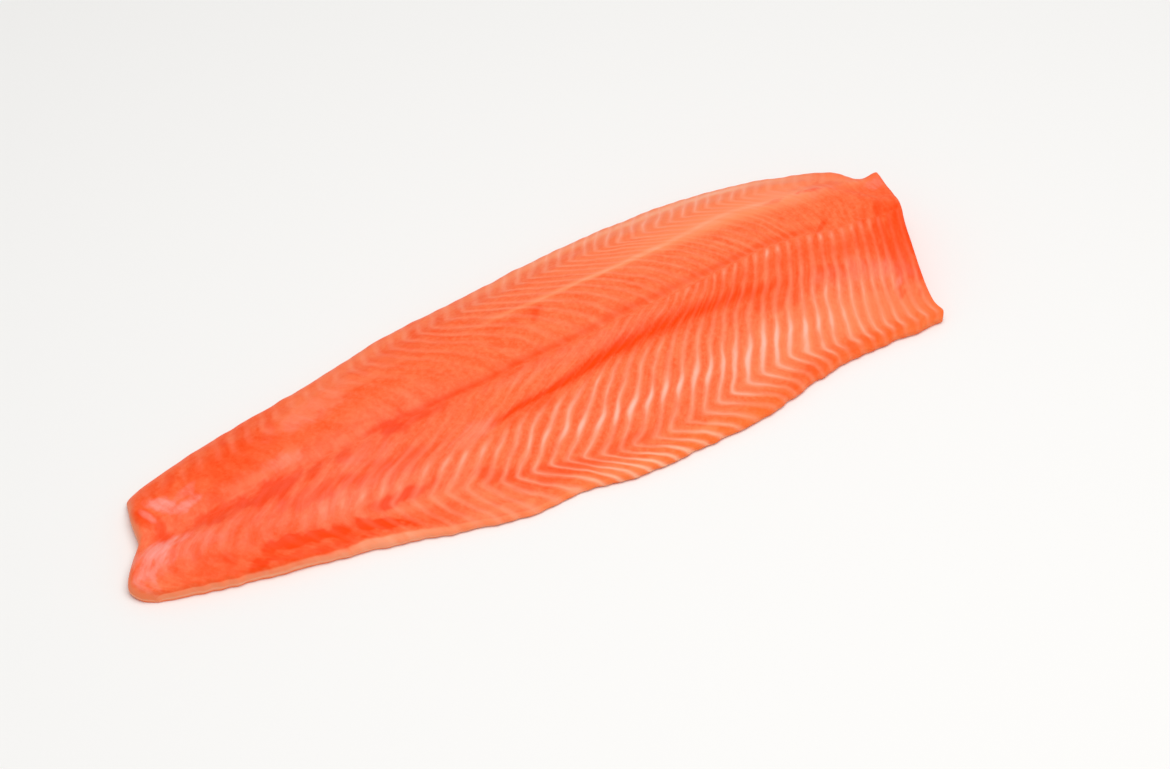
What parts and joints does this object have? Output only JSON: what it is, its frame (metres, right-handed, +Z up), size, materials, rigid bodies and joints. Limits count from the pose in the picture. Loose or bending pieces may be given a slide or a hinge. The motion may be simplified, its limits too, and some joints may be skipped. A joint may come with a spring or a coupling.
{
  "type": "raw salmon fillet",
  "caption": "Whole skinless side of raw salmon lying flesh side up, with a thick back, a thin belly flap, a square-cut head end and a notched tail.",
  "frame": {"origin": "middle of the bounding box, on the flat underside that the fillet lies on", "axes": "+X from the tail to the head end, +Y from the belly to the back, +Z up out of the flesh side"},
  "size_m": [0.4804, 0.1632, 0.0297],
  "materials": {
    "flesh": "moist satin"
  },
  "bodies": {
    "root": {"fillet": "flesh"}
  },
  "joints": []
}
